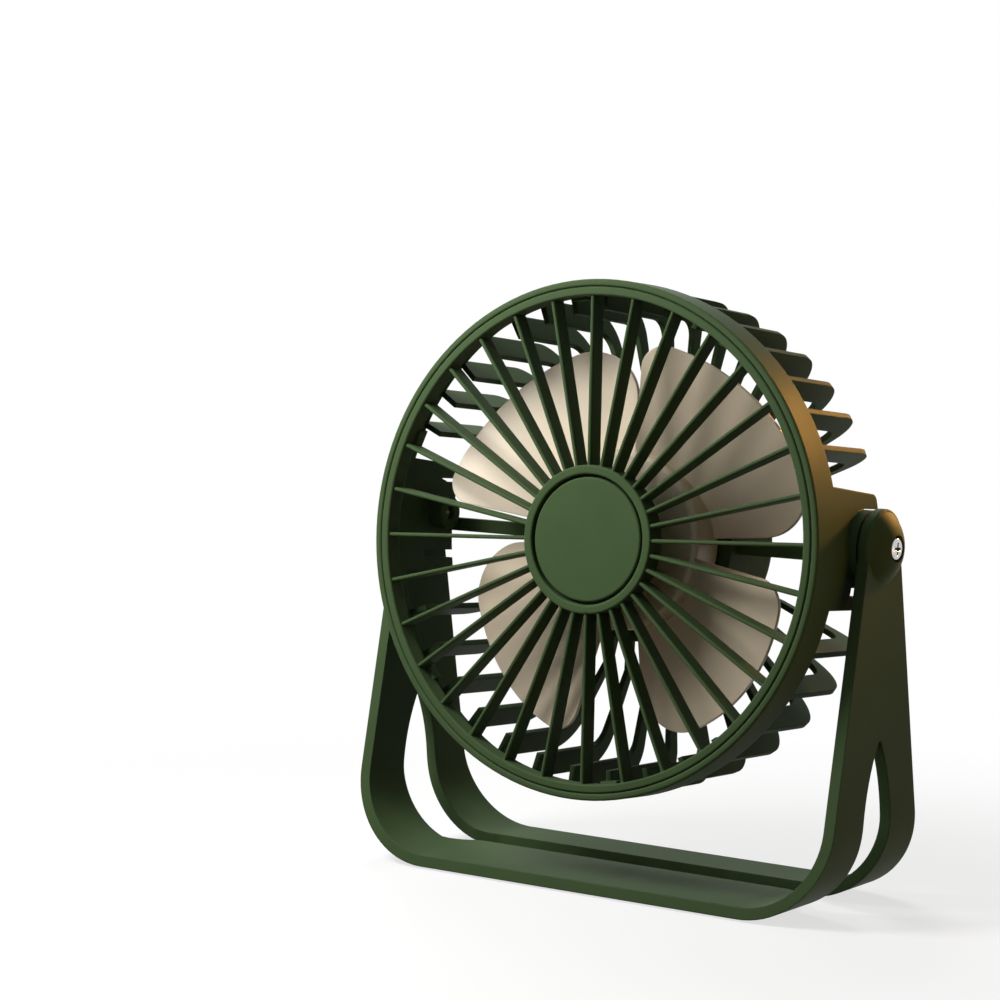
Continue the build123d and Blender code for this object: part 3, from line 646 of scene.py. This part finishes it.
def studio_floor(name):
    """Pale paint that fades into plain white away from the fan, and throws little light up at it."""
    material = bpy.data.materials.new(name)
    material.use_nodes = True
    material.node_tree.nodes.clear()
    start = Shade(material.node_tree)
    place = start.place()
    cloud = start.noise(place, floor_cloud_size)
    paint = start.shades(cloud, floor_colour, darkest=0.99, palest=1.01)
    away = start.add("ShaderNodeVectorMath", {"operation": "LENGTH"}, {"Vector": place}, "Value")
    fade = start.step(away, fade_start, fade_end)
    shaded = start.add("ShaderNodeBsdfDiffuse", {}, {"Color": paint})
    plain = start.add("ShaderNodeEmission", {}, {"Color": rgba(white)})
    bounce = start.add("ShaderNodeBsdfDiffuse", {}, {"Color": rgba(bounce_colour)})
    shadow = {"Fac": 1.0 - shadow_share * (1.0 - fade), "Shader": shaded, "Shader_001": plain}
    seen = start.add("ShaderNodeMixShader", {}, shadow)
    choice = {"Fac": seen_directly(start), "Shader": bounce, "Shader_001": seen}
    start.add("ShaderNodeOutputMaterial", {}, {"Surface": start.add("ShaderNodeMixShader", {}, choice)})
    return material


floor_mesh = bpy.data.meshes.new("floor")
corner_signs = ((-1, -1), (1, -1), (1, 1), (-1, 1))
floor_corners = [(x * floor_reach, y * floor_reach, -floor_drop) for x, y in corner_signs]
floor_mesh.from_pydata(floor_corners, [], [(0, 1, 2, 3)])
floor_mesh.materials.append(studio_floor("studio_floor"))
floor = bpy.data.objects.new("floor", floor_mesh)
scene.collection.objects.link(floor)


# Light: a bright sky and a soft lamp at the front left, and a broad plain lamp high up behind on the left.
# A narrow warm lamp from behind brushes the right side of the rim.
# A faint warm lamp stands low on the right.

towards_day = (-0.62, -0.70, 0.35)
day_sky = (0.58, 0.60, 0.61)
dim_sky = (0.025, 0.018, 0.012)

world = bpy.data.worlds.new("studio")
world.use_nodes = True
world.node_tree.nodes.clear()
sky_start = Shade(world.node_tree)
sky_way = sky_start.add("ShaderNodeTexCoord", {}, {}, "Generated")
near_day = sky_start.step(sky_start.along(sky_way, towards_day), low=0.1, high=1.0)
sky = sky_start.mix(near_day, rgba(dim_sky), rgba(day_sky))
sky = sky_start.mix(seen_directly(sky_start), sky, rgba(white))
sky_light = sky_start.add("ShaderNodeBackground", {}, {"Color": sky})
sky_start.add("ShaderNodeOutputWorld", {}, {"Surface": sky_light})
scene.world = world


def soft_lamp(name, kind, settings, place, aim, watts, colour):
    """A lamp at one place, turned towards another. It isn't seen by the camera."""
    light = bpy.data.lights.new(name, kind)
    light.energy = watts
    light.color = colour
    for setting, value in settings.items():
        setattr(light, setting, value)
    lamp = bpy.data.objects.new(name, light)
    lamp.location = place
    lamp.rotation_mode = "QUATERNION"
    lamp.rotation_quaternion = (Vector(place) - Vector(aim)).to_track_quat("Z", "Y")
    lamp.visible_camera = False
    scene.collection.objects.link(lamp)


day_white = (1.0, 1.0, 0.98)
warm_white = (1.0, 0.46, 0.10)
warm_cone = {"shadow_soft_size": 0.05, "spot_size": math.radians(12.0), "spot_blend": 0.9}
soft_lamp(
    "day_lamp", "AREA", {"size": 0.14}, place=(-0.15, -0.22, 0.30), aim=(0.0, -0.03, 0.12),
    watts=1.52, colour=day_white,
)
soft_lamp(
    "warm_lamp", "SPOT", warm_cone, place=(0.17, 0.50, 0.33), aim=(0.116, 0.0, 0.148),
    watts=46.0, colour=warm_white,
)
soft_lamp(
    "back_lamp", "AREA", {"size": 0.30}, place=(-0.24, 0.30, 0.60), aim=(0.0, 0.0, 0.11),
    watts=2.6, colour=day_white,
)
soft_lamp(
    "low_lamp", "AREA", {"size": 0.20}, place=(0.40, 0.02, 0.03), aim=(0.09, 0.0, 0.06),
    watts=0.3, colour=warm_white,
)


# Camera: at the photograph's viewing angle, a little above the fan and off to one side of its front.
# It leans over slightly, as the photograph does.

camera_turn = math.radians(34.13)
camera_rise = math.radians(4.48)
camera_roll = math.radians(1.40)
camera_place = (0.4792, -0.7869, 0.1944)

back = Vector((
    math.sin(camera_turn) * math.cos(camera_rise),
    -math.cos(camera_turn) * math.cos(camera_rise),
    math.sin(camera_rise),
))
level = Vector((math.cos(camera_turn), math.sin(camera_turn), 0.0))
upright = back.cross(level)
right = math.cos(camera_roll) * level + math.sin(camera_roll) * upright
up = math.cos(camera_roll) * upright - math.sin(camera_roll) * level
lens = bpy.data.cameras.new("camera")
lens.sensor_fit = "HORIZONTAL"
lens.sensor_width = 36.0
lens.lens = 102.86
lens.clip_start = 0.05
lens.clip_end = 100.0
camera = bpy.data.objects.new("camera", lens)
camera.matrix_world = Matrix.Translation(camera_place) @ Matrix((right, up, back)).transposed().to_4x4()
scene.collection.objects.link(camera)
scene.camera = camera
